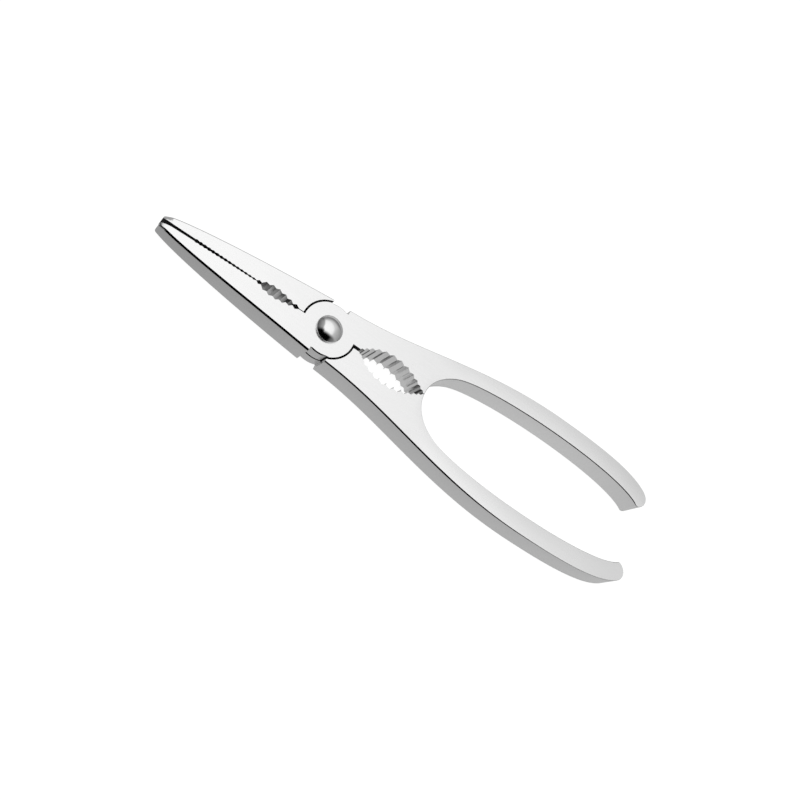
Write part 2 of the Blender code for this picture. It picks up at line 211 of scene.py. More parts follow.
@dataclass
class SteelEffects:
    """Shader node groups that the steel finishes share.

    A pair of numbers is the start and the end of a change, and four are these and the
    results there.
    """

    coarse_scale: float = 0.22        # fineness of the broad lines over the fine ones'
    coarse_share: float = 0.35        # of the broad lines in the grain's height
    shade_span: tuple = (0.3, 0.7)
    patch_span: tuple = (0.35, 0.7)
    hairline_turn: tuple = (0.1, 0.2, 0.5)
    hairline_stretch: tuple = (0.12, 1.0, 1.0)
    hairline_fade: tuple = (0.0, 0.02, 1.0, 0.0)
    hairline_breaks: float = 150.0    # per metre
    hairline_span: tuple = (0.58, 0.66)
    edge_turn: tuple = (0.995, 0.85)  # likeness of the flat and the rounded normal
    wear_span: tuple = (0.35, 0.65, 0.35, 1.0)
    grip_span: tuple = (38.0 * MM, 52.0 * MM)   # where the crown of the faces sets in

    @cached_property
    def grain(self) -> bpy.types.NodeTree:
        """Fine lines that a grinding belt leaves, as a height and a shade."""
        web, take, give = new_group("brushed_grain", "ShaderNodeTree", {
            "Vector": "NodeSocketVector", "Lines per Metre": 9000.0,
            "Stretch": (0.02, 1.0, 1.0), "Waviness": 0.3,
        }, {"Height": "NodeSocketFloat", "Shade": "NodeSocketFloat"})
        along = web.vector("MULTIPLY", take["Vector"], take["Stretch"]).outputs[0]
        fine = web.noise(along, Scale=take["Lines per Metre"], Detail=3.0, Roughness=0.65)
        coarse_scale = web.product(take["Lines per Metre"], self.coarse_scale)
        coarse = web.noise(along, Scale=coarse_scale, Detail=2.0, Distortion=take["Waviness"])
        height = web.mix(self.coarse_share, fine, coarse)
        web.feed(give["Height"], height)
        web.feed(give["Shade"], web.ramp(height, *self.shade_span))
        return web.tree

    @cached_property
    def handling(self) -> bpy.types.NodeTree:
        """Uneven polish that handling leaves: soft patches and hairlines."""
        web, take, give = new_group("handling_marks", "ShaderNodeTree", {
            "Vector": "NodeSocketVector", "Patches per Metre": 60.0, "Hairlines per Metre": 420.0,
        }, {"Patches": "NodeSocketFloat", "Hairlines": "NodeSocketFloat"})
        patches = web.noise(take["Vector"], Scale=take["Patches per Metre"], Detail=4.0,
                            Roughness=0.55)
        web.feed(give["Patches"], web.ramp(patches, *self.patch_span))
        turned = web.add("ShaderNodeMapping", {"Vector": take["Vector"],
                                               "Rotation": self.hairline_turn,
                                               "Scale": self.hairline_stretch})
        cells = web.add("ShaderNodeTexVoronoi", {"Vector": turned.outputs[0],
                                                 "Scale": take["Hairlines per Metre"]},
                        feature="DISTANCE_TO_EDGE")
        line = web.ramp(cells.outputs["Distance"], *self.hairline_fade)
        breaks = web.noise(take["Vector"], Scale=self.hairline_breaks)
        shown = web.ramp(breaks, *self.hairline_span)
        web.feed(give["Hairlines"], web.product(line, shown))
        return web.tree

    @cached_property
    def edge_wear(self) -> bpy.types.NodeTree:
        """Mask of the narrow strip along edges, broken up as rubbing leaves it."""
        web, take, give = new_group("edge_wear", "ShaderNodeTree", {
            "Vector": "NodeSocketVector", "Width": 0.25 * MM, "Breaks per Metre": 900.0,
        }, {"Wear": "NodeSocketFloat"})
        rounded = web.add("ShaderNodeBevel", {"Radius": take["Width"]}, samples=4)
        flat = web.add("ShaderNodeNewGeometry").outputs["Normal"]
        likeness = web.vector("DOT_PRODUCT", rounded.outputs["Normal"], flat).outputs["Value"]
        breaks = web.noise(take["Vector"], Scale=take["Breaks per Metre"], Detail=3.0)
        wear = web.product(web.ramp(likeness, *self.edge_turn), web.ramp(breaks, *self.wear_span))
        web.feed(give["Wear"], wear)
        return web.tree

    @cached_property
    def crown(self) -> bpy.types.NodeTree:
        """Slight swell of forged faces and walls, as a height in metres.

        The grip's centre line is taken as a parabola through its belly.
        """
        web, take, give = new_group("forged_crown", "ShaderNodeTree", {
            "Vector": "NodeSocketVector", "Is Face": 1.0, "Mid Height": 4.8 * MM,
            "Belly X": 93.0 * MM, "Belly Y": 20.7 * MM, "Bend per Metre": 3.1,
            "Face Crown per Metre": 8.0, "Wall Crown per Metre": 14.0,
        }, {"Height": "NodeSocketFloat"})
        x, y, z = web.split(take["Vector"])
        run = web.math("SUBTRACT", x, take["Belly X"])
        sag = web.product(run, run, take["Bend per Metre"])
        centre = web.math("SUBTRACT", take["Belly Y"], sag)
        across = web.math("SUBTRACT", web.math("ABSOLUTE", y), centre)
        on_grip = web.ramp(x, *self.grip_span)
        face = web.product(across, across, take["Face Crown per Metre"], on_grip)
        up = web.math("SUBTRACT", z, take["Mid Height"])
        wall = web.product(up, up, take["Wall Crown per Metre"])
        web.feed(give["Height"], web.product(web.mix(take["Is Face"], wall, face), -1.0))
        return web.tree


@dataclass(frozen=True)
class SteelFinish:
    """A steel surface as one stage of the work left it; its grey can also carry painted shade on
    flanks, near the seam and on slopes that face the floor.

    Turns are the start and the end of a change, in parts of the normal.
    """

    name: str
    shade: float                  # grey level of flat faces
    roughness: float
    wall_shade: float             # grey level of the walls that stand across the tool
    wall_roughness: float
    lines_per_metre: float
    line_height: float            # depth of the grain, in metres
    face_stretch: tuple = (0.03, 1.0, 1.0)
    wall_stretch: tuple = (1.0, 1.0, 0.05)
    shade_change: float = 0.018   # how far the grain and the patches change the grey
    patch_share: float = 0.35     # of the patches in that change
    edge_gain: float = 0.1        # how much brighter the worn strip along edges is
    crown_share: float = 1.0      # of the forged crown that it shows
    flank_painted_shade: float = 0.0       # share of the grey taken off as painted shade on flanks that face the grips
    seam_painted_shade: float = 0.0        # share of the grey taken off as painted shade where an opening narrows to the seam
    underside_painted_shade: float = 0.0        # share of the grey taken off as painted shade on slopes that face the floor
    brightest: float = 0.97
    patch_gains: tuple = (0.96, 1.05)   # of the roughness, off and on the patches
    hairline_gain: float = 0.05   # roughness that hairlines add
    grain_strength: float = 0.6
    face_turn: tuple = (0.55, 0.85)
    # Where the painted shade on flanks and on slopes facing the floor sets in, and how far the
    # painted shade by the seam reaches
    flank_turn: tuple = (0.15, 0.68)
    rear_turn: tuple = (-0.7, -0.3)
    seam_reach: tuple = (0.2 * MM, 2.4 * MM)

    def build(self, effects: SteelEffects) -> bpy.types.Material:
        """Make the material.

        Args:
            effects: Shader node groups that it uses.

        Returns:
            The material.
        """
        material = bpy.data.materials.new(self.name)
        material.use_nodes = True
        web = NodeWeb(material.node_tree)
        shader = material.node_tree.nodes["Principled BSDF"]
        place = web.add("ShaderNodeTexCoord").outputs
        where = place["Object"]
        facing_x, _, facing_z = web.split(place["Normal"])
        is_face = web.ramp(web.math("ABSOLUTE", facing_z), *self.face_turn)

        walls, faces = [web.group(effects.grain, {"Vector": where, "Stretch": stretch,
                                                  "Lines per Metre": self.lines_per_metre})
                        for stretch in (self.wall_stretch, self.face_stretch)]
        height, lines = [web.mix(is_face, walls[name], faces[name])
                         for name in ("Height", "Shade")]
        handling = web.group(effects.handling, {"Vector": where})
        wear = web.group(effects.edge_wear, {"Vector": where})["Wear"]

        aside = web.math("ABSOLUTE", web.split(where)[1])
        # Painted shade: the grey is darkened on flanks that face the grips, on slopes that face the
        # floor, and where an opening narrows to the seam.
        grey = web.product(web.mix(is_face, self.wall_shade, self.shade),
                           web.ramp(facing_x, *self.flank_turn, 1.0, 1.0 - self.flank_painted_shade),
                           web.ramp(facing_z, *self.rear_turn, 1.0 - self.underside_painted_shade, 1.0),
                           web.ramp(aside, *self.seam_reach, 1.0 - self.seam_painted_shade, 1.0))
        uneven = web.mix(self.patch_share, lines, handling["Patches"])
        change = web.ramp(uneven, 0.0, 1.0, -self.shade_change, self.shade_change, False)
        grey = web.math("MULTIPLY_ADD", wear, self.edge_gain, web.math("ADD", grey, change))
        grey = web.math("MINIMUM", grey, self.brightest)
        web.feed(shader.inputs["Base Color"], web.grey(grey))

        rough = web.product(web.mix(is_face, self.wall_roughness, self.roughness),
                            web.ramp(handling["Patches"], 0.0, 1.0, *self.patch_gains, False))
        rough = web.math("MULTIPLY_ADD", handling["Hairlines"], self.hairline_gain, rough)
        web.feed(shader.inputs["Roughness"], rough)
        shader.inputs["Metallic"].default_value = 1.0

        crown = web.group(effects.crown, {"Vector": where, "Is Face": is_face})["Height"]
        crowned = web.add("ShaderNodeBump", {"Height": web.product(crown, self.crown_share),
                                             "Strength": 1.0, "Distance": 1.0})
        bump = web.add("ShaderNodeBump", {"Height": height, "Strength": self.grain_strength,
                                          "Distance": self.line_height,
                                          "Normal": crowned.outputs["Normal"]})
        web.feed(shader.inputs["Normal"], bump.outputs["Normal"])
        return material


@dataclass(frozen=True)
class SteelSet:
    """The finishes of the tool."""

    ground: SteelFinish = SteelFinish(
        "satin_ground_steel", 0.80, 0.24, 0.76, 0.32, 5200.0, 2.0e-6)
    # Its slopes that face the floor are darkened: painted shade.
    edge: SteelFinish = SteelFinish(
        "polished_edge_steel_painted_shade", 0.80, 0.07, 0.80, 0.09, 5200.0, 0.4e-6, shade_change=0.01,
        edge_gain=0.0, crown_share=0.0, underside_painted_shade=0.45)
    # Painted shade darkens the scallops' flanks that face the grips and the openings' narrow ends
    # by the seam.
    flute: SteelFinish = SteelFinish(
        "milled_scallop_steel_painted_shade", 0.80, 0.22, 0.80, 0.22, 3800.0, 4.0e-6, crown_share=0.0,
        flank_painted_shade=0.76, seam_painted_shade=0.8)
    # Near-black grey: painted shade in the joint's gaps, the seam, the teeth and the bore.
    lap: SteelFinish = SteelFinish(
        "machined_lap_painted_shade", 0.05, 0.45, 0.05, 0.45, 3000.0, 6.0e-6, edge_gain=0.0,
        crown_share=0.0)
    # Its steep walls at the rim get a far lighter grey than the dome: painted light.
    dome: SteelFinish = SteelFinish(
        "polished_rivet_steel_painted_light", 0.74, 0.11, 0.96, 0.2, 7000.0, 0.5e-6, shade_change=0.02,
        edge_gain=0.0, crown_share=0.0)


def bend(start: tuple, leave: float, end: tuple, arrive: float, pull_shares: tuple,
         spacing: float) -> list:
    """Draw a cubic curve, without its end point.

    Args:
        start: First point.
        leave: Heading at the first point, in radians.
        end: Last point, which the next stretch adds.
        arrive: Heading at the last point, in radians.
        pull_shares: Length of each end's straight pull, as a share of the chord.
        spacing: Distance between points, about.

    Returns:
        The points.
    """
    first, last = Vector(start), Vector(end)
    chord = (last - first).length
    lead = first + Vector((cos(leave), sin(leave))) * chord * pull_shares[0]
    trail = last - Vector((cos(arrive), sin(arrive))) * chord * pull_shares[1]
    steps = ceil(chord / spacing)
    points = []
    for step in range(steps):
        t = step / steps
        u = 1 - t
        points.append(tuple(first * u**3 + lead * 3 * u * u * t
                            + trail * 3 * u * t * t + last * t**3))
    return points


def lens(share: float, length: float, rise: float) -> float:
    """Give the height of a circular arc over its chord.

    Args:
        share: Place along the chord, from 0 to 1.
        length: Length of the chord.
        rise: Height of the arc at mid length.

    Returns:
        The height.
    """
    radius = (length * length / 4 + rise * rise) / (2 * rise)
    offset = length * (share - 0.5)
    return sqrt(radius * radius - offset * offset) - (radius - rise)


def finished_mesh(solid: bmesh.types.BMesh, name: str) -> bpy.types.Mesh:
    """Store a finished shape as a mesh, and free the shape.

    Args:
        solid: The shape.
        name: Name of the mesh.

    Returns:
        The mesh.
    """
    mesh = bpy.data.meshes.new(name)
    solid.to_mesh(mesh)
    solid.free()
    return mesh


def turned_mesh(name: str, profile: list, sides: int) -> bpy.types.Mesh:
    """Turn a profile about Z into a closed mesh.

    Args:
        name: Name of the mesh.
        profile: Radius and height of each row; a row of radius 0 is a pole, and an end
            off the axis is closed flat.
        sides: Number of sides.

    Returns:
        The mesh.
    """
    turn = 2 * pi / sides
    solid = bmesh.new()
    rows = []
    for radius, z in profile:
        ring = [(radius * cos(turn * i), radius * sin(turn * i), z)
                for i in range(sides if radius else 1)]
        rows.append([solid.verts.new(corner) for corner in ring])
    for low, high in zip(rows, rows[1:]):
        for i in range(sides):
            j = (i + 1) % sides
            corners = [low[i % len(low)], low[j % len(low)],
                       high[j % len(high)], high[i % len(high)]]
            solid.faces.new(list(dict.fromkeys(corners)))
    for ring in (rows[0], rows[-1]):
        if len(ring) > 1:
            solid.faces.new(ring)
    bmesh.ops.recalc_face_normals(solid, faces=solid.faces[:])
    return finished_mesh(solid, name)


def add_piece(name: str, mesh: bpy.types.Mesh) -> bpy.types.Object:
    """Link a mesh into the scene, at the origin.

    Args:
        name: Name of its object.
        mesh: The mesh.

    Returns:
        The object.
    """
    piece = bpy.data.objects.new(name, mesh)
    bpy.context.scene.collection.objects.link(piece)
    return piece


def freeze(piece: bpy.types.Object) -> None:
    """Turn a piece's modifiers into plain mesh, and remove them.

    Args:
        piece: The piece.
    """
    bpy.context.view_layer.update()
    depsgraph = bpy.context.evaluated_depsgraph_get()
    mesh = bpy.data.meshes.new_from_object(piece.evaluated_get(depsgraph),
                                           preserve_all_data_layers=True,
                                           depsgraph=depsgraph)
    piece.modifiers.clear()
    piece.data = mesh


def grow(name: str, tree: bpy.types.NodeTree, values: dict) -> bpy.types.Mesh:
    """Run a Geometry Nodes tree once and keep its result as a plain mesh.

    Args:
        name: Name of the mesh.
        tree: The tree.
        values: Its inputs, by name.

    Returns:
        The mesh.
    """
    piece = add_piece(name, bpy.data.meshes.new(name))
    modifier = piece.modifiers.new(name, "NODES")
    modifier.node_group = tree
    for item in tree.interface.items_tree:
        if item.in_out == "INPUT" and item.name in values:
            modifier[item.identifier] = values[item.name]
    freeze(piece)
    mesh = piece.data
    bpy.data.objects.remove(piece)
    return mesh


def cut(piece: bpy.types.Object, mesh: bpy.types.Mesh, overlapping: bool) -> bpy.types.Object:
    """Cut a tool out of a piece with a Boolean modifier.

    Args:
        piece: The piece.
        mesh: The tool's shape.
        overlapping: Whether the tool's own parts overlap.

    Returns:
        The tool's object.
    """
    tool = add_piece(mesh.name, mesh)
    tool.hide_render = True
    modifier = piece.modifiers.new(mesh.name, "BOOLEAN")
    modifier.operation = "DIFFERENCE"
    modifier.solver = "EXACT"
    modifier.use_self = overlapping
    modifier.material_mode = "TRANSFER"
    modifier.object = tool
    return tool


def finish_cuts(piece: bpy.types.Object, tools: list) -> bpy.types.Mesh:
    """Turn a piece's cuts into plain mesh, and remove the tools.

    Args:
        piece: The piece.
        tools: Objects of the tools.

    Returns:
        Its mesh.
    """
    freeze(piece)
    for tool in tools:
        bpy.data.objects.remove(tool)
    return piece.data


RIDGE_INPUTS = {"Start X": 0.0, "End X": 0.0, "Rise": 0.0, "Lean": 1.0, "Swell": 1.0,
                "Spread": 0.0, "Side": 1.0, "Least Height": 0.0}


@dataclass
class CutterTrees:
    """Geometry Nodes trees of the tools that cut what repeats along an arm."""

    tool_length: float = 2.6          # of a tool over half the arm's thickness

    @cached_property
    def ridge_place(self) -> bpy.types.NodeTree:
        """Rule for the ridges between scallops, which turns a share of the way into a place.

        They stand on a leaning arc.
        """
        web, take, give = new_group("ridge_place", "GeometryNodeTree",
                                    RIDGE_INPUTS | {"Share": 0.0}, {"Place": "NodeSocketVector"})
        wave = web.math("SINE", web.product(take["Share"], 2 * pi))
        drawn = web.math("DIVIDE", web.product(take["Spread"], wave), 2 * pi)
        share = web.math("SUBTRACT", take["Share"], drawn)
        span = web.math("SUBTRACT", take["End X"], take["Start X"])
        length = web.math("ABSOLUTE", span)
        radius = web.arc_radius(length, take["Rise"])
        leaning = web.math("POWER", share, take["Lean"])
        offset = web.product(length, web.math("SUBTRACT", leaning, 0.5))
        inner = web.math("SUBTRACT", web.math("POWER", radius, 2.0), web.math("POWER", offset, 2.0))
        drop = web.math("SUBTRACT", radius, take["Rise"])
        height = web.math("SUBTRACT", web.math("SQRT", web.math("MAXIMUM", inner, 0.0)), drop)
        part = web.math("DIVIDE", web.math("MAXIMUM", height, 0.0), take["Rise"])
        height = web.product(web.math("POWER", part, take["Swell"]), take["Rise"])
        height = web.math("MAXIMUM", height, take["Least Height"])
        x = web.math("MULTIPLY_ADD", span, share, take["Start X"])
        web.feed(give["Place"], web.join(x, web.product(height, take["Side"])))
        return web.tree

    @cached_property
    def flutes(self) -> bpy.types.NodeTree:
        """Row of tools that cut the scallops, each with a corner pointing outwards."""
        web, take, give = new_group("scallop_tools", "GeometryNodeTree", RIDGE_INPUTS | {
            "Count": 12, "Depth Share": 0.3, "End Depth Share": 1.0, "Half Thickness": 0.0,
            "Sides": 6, "Corner Reach": 1.06, "Material": "NodeSocketMaterial",
        }, {"Geometry": "NodeSocketGeometry"})
        number = web.add("GeometryNodeInputIndex").outputs[0]
        rule = {name: take[name] for name in RIDGE_INPUTS}
        shares = [web.math("DIVIDE", web.math("ADD", number, step), take["Count"])
                  for step in (0.0, 1.0)]
        near, far = [web.group(self.ridge_place, rule | {"Share": share})["Place"]
                     for share in shares]
        chord = web.vector("SUBTRACT", far, near).outputs[0]
        width = web.vector("LENGTH", chord).outputs["Value"]
        is_last = web.math("COMPARE", number, web.math("SUBTRACT", take["Count"], 1.0), 0.5)
        share = web.product(take["Depth Share"], web.mix(is_last, 1.0, take["End Depth Share"]))
        depth = web.product(width, share)
        radius = web.arc_radius(width, depth)
        across = web.vector("CROSS_PRODUCT", (0.0, 0.0, 1.0), chord).outputs[0]
        outward = web.vector("NORMALIZE", across).outputs[0]
        middle = web.add("ShaderNodeMix", {"Factor": 0.5, 4: near, 5: far}, data_type="VECTOR")
        inset = web.add("ShaderNodeVectorMath", {0: outward,
                                                 "Scale": web.math("SUBTRACT", radius, depth)},
                        operation="SCALE")
        centre = web.vector("SUBTRACT", middle.outputs[1], inset.outputs[0]).outputs[0]
        aimed = web.add("FunctionNodeAlignRotationToVector", {"Vector": outward}, axis="X")
        reach = web.product(radius, take["Corner Reach"])
        self.set_tools(web, take, give, take["Sides"], centre,
                       {"Scale": web.join(reach, reach, take["Half Thickness"]),
                        "Rotation": aimed.outputs[0]})
        return web.tree

    @cached_property
    def notches(self) -> bpy.types.NodeTree:
        """Row of four-sided tools that notch the jaw's seam into teeth."""
        web, take, give = new_group("tooth_tools", "GeometryNodeTree", {
            "Count": 15, "Start X": 0.0, "End X": 0.0, "Start Y": 0.0, "Slope": 0.0,
            "Depth": 0.25 * MM, "Width Share": 0.96, "Half Thickness": 0.0,
            "Material": "NodeSocketMaterial",
        }, {"Geometry": "NodeSocketGeometry"})
        number = web.add("GeometryNodeInputIndex").outputs[0]
        share = web.math("DIVIDE", web.math("ADD", number, 0.5), take["Count"])
        span = web.math("SUBTRACT", take["End X"], take["Start X"])
        x = web.math("MULTIPLY_ADD", span, share, take["Start X"])
        run = web.math("ABSOLUTE", web.math("SUBTRACT", x, take["Start X"]))
        y = web.math("MULTIPLY_ADD", run, take["Slope"], take["Start Y"])
        pitch = web.math("DIVIDE", web.math("ABSOLUTE", span), take["Count"])
        half_width = web.product(pitch, 0.5, take["Width Share"])
        size = web.join(half_width, take["Depth"], take["Half Thickness"])
        self.set_tools(web, take, give, 4, web.join(x, y), {"Scale": size})
        return web.tree

    def set_tools(self, web: NodeWeb, take: bpy.types.bpy_prop_collection,
                  give: bpy.types.bpy_prop_collection, sides: Input,
                  places: bpy.types.NodeSocket, pose: dict) -> None:
        """End a tree: set one tool at each place as real mesh, with its material.

        Args:
            web: Web on the tree.
            take: Sockets that the tree takes.
            give: Sockets that it gives.
            sides: Number of a tool's sides.
            places: Place of each tool.
            pose: Scale and turn of each tool, as inputs of their node.
        """
        row = web.add("GeometryNodeMeshLine", {"Count": take["Count"]}).outputs["Mesh"]
        spots = web.add("GeometryNodeSetPosition", {"Geometry": row, "Position": places})
        tool = web.add("GeometryNodeMeshCylinder",
                       {"Vertices": sides, "Radius": 1.0, "Depth": self.tool_length}).outputs[0]
        tools = web.add("GeometryNodeInstanceOnPoints",
                        {"Points": spots.outputs[0], "Instance": tool} | pose).outputs[0]
        real = web.add("GeometryNodeRealizeInstances", {0: tools}).outputs[0]
        dressed = web.add("GeometryNodeSetMaterial",
                          {"Geometry": real, "Material": take["Material"]})
        web.feed(give[0], dressed.outputs[0])


@dataclass(frozen=True)
class Opening:
    """A scalloped opening on the seam, whose ridges stand on a leaning arc."""

    name: str
    start_x: float
    end_x: float
    side: int                         # 1 where its wall lies above the seam, -1 below
    scallops: int
    rise: float                       # height of the ridges' arc
    lean: float                       # above 1, its highest place moves towards end_x
    swell: float                      # above 1, its ends are drawn towards the seam
    depth_share: float                # depth of a scallop over its width
    end_depth_share: float = 1.0      # depth of the scallop at end_x over the others'
    spread: float = 0.0               # how much wider than the mean the middle scallops are
    rough_share: float = 0.9          # height of the rough-cut wall over that of the ridges

    def rough_wall(self, spacing: float, least_height: float) -> list:
        """Draw the rough-cut wall, before the scallops are milled.

        Args:
            spacing: Distance between points, about.
            least_height: Height over the seam's centre that it keeps.

        Returns:
            The points, both ends included.
        """
        length = abs(self.end_x - self.start_x)
        steps = ceil(length / spacing)
        points = []
        for step in range(steps + 1):
            share = step / steps
            part = max(lens(share**self.lean, length, self.rise), 0) / self.rise
            height = max(self.rise * part**self.swell * self.rough_share, least_height)
            points.append((self.start_x + (self.end_x - self.start_x) * share, self.side * height))
        return points

    def tools(self, tree: bpy.types.NodeTree, common: dict) -> bpy.types.Mesh:
        """Grow the tools that mill the scallops, from a tree and what both openings share."""
        return grow(self.name, tree, common | {
            "Count": self.scallops, "Start X": self.start_x, "End X": self.end_x,
            "Rise": self.rise, "Lean": self.lean, "Swell": self.swell, "Spread": self.spread,
            "Side": float(self.side), "Depth Share": self.depth_share,
            "End Depth Share": self.end_depth_share})


@dataclass
class ArmForging:
    """The steel forging that both arms start from: jaw, disc and grip, with cut openings.

    It is drawn with the pivot at the origin and the disc's kept half in front.
    """

    thickness: float = 9.6 * MM
    jaw_length: float = 62.4 * MM
    grip_length: float = 137.8 * MM
    half_seam: float = 0.15 * MM
    spacing: float = 0.7 * MM         # between the outline's points, about
    same_place: float = 0.01 * MM     # points closer than this are one

    edge_break: float = 0.56 * MM
    edge_profile: float = 0.3         # 0.25 is a flat chamfer, 0.5 a round one
    edge_segments: int = 4
    disc_break_share: float = 0.65
    grip_inner_break_share: float = 0.45
    grip_outer_break_share: float = 0.75
    grip_end_break_share: float = 0.25
    fade_x: tuple = (58.0 * MM, 102.0 * MM)   # where the outer edge's break narrows to the end's

    disc_radius: float = 9.5 * MM
    disc_clearance: float = 0.6 * MM
    jaw_stop_x: float = 2.9 * MM
    grip_stop_x: float = 3.6 * MM
    stop_half_width: float = 10.65 * MM

    tip_thickness: float = 5.9 * MM
    taper_swell: float = 1.65         # above 1 the jaw keeps its thickness for longer
    taper_steps: int = 10
    tip_half_width: float = 2.05 * MM
    tip_half_gap: float = 0.9 * MM
    tip_heading: float = radians(18)
    tip_round: float = 0.6 * MM       # the tip's outer corner, seen from the front
    tip_round_steps: int = 3
    lead_length: float = 3.4 * MM     # the gap flares over this length of the tip
    lead_half_gap: float = 0.55 * MM
    roll_length: float = 3.4 * MM     # the tip's front is rubbed off over this length
    roll_depth: float = 0.75 * MM
    roll_steps: int = 4
    jaw_stop_heading: float = radians(6.5)
    jaw_pull_shares: tuple = (0.14, 0.5)

    claw: Opening = Opening("claw_scallop_tools", -12.1 * MM, -28.5 * MM, -1, 7, 1.45 * MM,
                            1.26, 1.85, 0.29, end_depth_share=0.32)
    shell: Opening = Opening("shell_scallop_tools", 12.5 * MM, 38.8 * MM, 1, 12, 4.9 * MM,
                             0.92, 1.19, 0.35, spread=0.38)
    slot_half_gap: float = 0.62 * MM
    corner_reach: float = 1.06        # of a milling tool's corners over its circle
    tool_sides: int = 6
    tooth_count: int = 15
    tooth_depth: float = 0.25 * MM
    tooth_width_share: float = 0.96   # of a notch in the pitch
    tip_land: float = 11.4 * MM

    crotch_x: float = 39.6 * MM
    neck: tuple = (49.5 * MM, 12.6 * MM)
    neck_heading: float = radians(23)
    crotch_pull_shares: tuple = (0.40, 0.31)
    neck_pull_shares: tuple = (0.15, 0.47)
    belly_x: float = 93.0 * MM
    belly_half_width: float = 24.15 * MM
    belly_width: float = 6.9 * MM
    shoulder_heading: float = radians(4)
    shoulder_pull_shares: tuple = (0.42, 0.33)
    heel: tuple = (134.4 * MM, 11.7 * MM)
    heel_heading: float = radians(-35)
    heel_pull_shares: tuple = (0.40, 0.17)
    nose_half_width: float = 15.3 * MM
    nose_start: tuple = (132.5 * MM, 20.2 * MM)
    nose_heading: float = radians(-22)
    nose_pull_shares: tuple = (0.25, 0.33)
    end_pull_shares: tuple = (0.36, 0.36)

    @property
    def recess_radius(self) -> float:
        """Radius of the recess that the other arm's disc turns in."""
        return self.disc_radius + self.disc_clearance

    @property
    def half_thickness(self) -> float:
        """Half of the arm's thickness."""
        return self.thickness / 2

    @property
    def taper_length(self) -> float:
        """Length over which the jaw thins."""
        return self.jaw_length - self.recess_radius

    @property
    def division_clearance(self) -> float:
        """Least distance from one of the jaw's divisions to a point of its outline."""
        return 2 * self.half_seam

    def stations(self) -> list:
        """Find where the jaw's faces are divided.

        Returns:
            Their distances from the pivot, in order.
        """
        clear = self.division_clearance
        places = [self.recess_radius + clear + (self.taper_length - clear) * i / self.taper_steps
                  for i in range(self.taper_steps)]
        start = self.jaw_length - self.roll_length
        places += [start + self.roll_length * i / self.roll_steps for i in range(self.roll_steps)]
        return sorted(places)

    def jaw_taper(self, x: float) -> float:
        """Give the thickness that the taper leaves, straight between stations.

        Args:
            x: Place along the tool.

        Returns:
            It over the full thickness.
        """
        marks = self.stations() + [self.jaw_length]
        place = -x
        if place <= marks[0]:
            return 1.0
        near = max(i for i, mark in enumerate(marks[:-1]) if mark <= place)
        losses = [((mark - self.recess_radius) / self.taper_length)**self.taper_swell
                  for mark in marks[near:near + 2]]
        way = (place - marks[near]) / (marks[near + 1] - marks[near])
        loss = losses[0] + (losses[1] - losses[0]) * way
        return 1 - loss * (1 - self.tip_thickness / self.thickness)

    def roll(self, x: float) -> float:
        """Give how far the tip's front is rubbed down at x."""
        way = max(-x - self.jaw_length + self.roll_length, 0) / self.roll_length
        return self.roll_depth * way * way

    def arc(self, start: float, end: float) -> list:
        """Draw a stretch of the disc's edge, both ends included.

        Args:
            start: Angle of its first point, in radians.
            end: Angle of its last point.

        Returns:
            The points.
        """
        steps = max(2, ceil(abs(end - start) * self.disc_radius / self.spacing))
        turn = (end - start) / steps
        angles = [start + turn * i for i in range(steps + 1)]
        return [(self.disc_radius * cos(angle), self.disc_radius * sin(angle)) for angle in angles]

    def chain(self, *stops: tuple) -> list:
        """Draw curves from stop to stop, without the last one.

        Args:
            stops: Point and heading of each, and the pull shares of the curve that leaves it.

        Returns:
            The points.
        """
        points = []
        for (start, leave, pull_shares), (end, arrive, *_) in zip(stops, stops[1:]):
            points += bend(start, leave, end, arrive, pull_shares, self.spacing)
        return points

    def jaw_outer(self) -> list:
        """Draw the tip's outer corner and the jaw's outer edge, as far as its end wall.

        Points close to one of the jaw's divisions are left out.

        Returns:
            The points.
        """
        corner = Vector((-self.jaw_length, -self.tip_half_width))
        along = Vector((cos(self.tip_heading), -sin(self.tip_heading)))
        turn = tuple(corner + along * self.tip_round)
        end = (-self.jaw_stop_x, -self.stop_half_width)
        points = bend((corner.x, corner.y + self.tip_round), -pi / 2, turn, -self.tip_heading,
                      self.end_pull_shares, self.tip_round / self.tip_round_steps)
        edge = self.chain((turn, -self.tip_heading, self.jaw_pull_shares),
                          (end, -self.jaw_stop_heading))
        kept = [(x, y) for x, y in edge[1:]
                if min(abs(x + mark) for mark in self.stations()) > self.division_clearance]
        return points + edge[:1] + kept + [end]

    def grip_inner(self) -> list:
        """Draw the grip's inner edge, from the crotch to its inner corner."""
        belly = (self.belly_x, self.belly_half_width - self.belly_width)
        return self.chain(((self.crotch_x, self.half_seam), pi / 2, self.crotch_pull_shares),
                          (self.neck, self.neck_heading, self.neck_pull_shares),
                          (belly, 0, self.heel_pull_shares),
                          (self.heel, self.heel_heading))

    def grip_outer(self) -> list:
        """Draw the grip's end, from its inner corner, and its outer edge back to the disc.

        Returns:
            The points.
        """
        nose = (self.grip_length, self.nose_half_width)
        shoulder = (self.grip_stop_x, self.stop_half_width)
        points = self.chain((self.heel, 0, self.end_pull_shares),
                            (nose, pi / 2, self.end_pull_shares),
                            (self.nose_start, self.nose_heading + pi, self.nose_pull_shares),
                            ((self.belly_x, self.belly_half_width), pi, self.shoulder_pull_shares),
                            (shoulder, self.shoulder_heading + pi))
        return points + [shoulder]

    def narrowed(self, x: float, share: float) -> float:
        """Narrow a wide edge break towards the grip's end.

        Args:
            x: Place along the tool.
            share: The break's share before that.

        Returns:
            Its share at x.
        """
        if share <= self.grip_inner_break_share:
            return share
        way = min(max((x - self.fade_x[0]) / (self.fade_x[1] - self.fade_x[0]), 0), 1)
        return share + (self.grip_end_break_share - share) * way

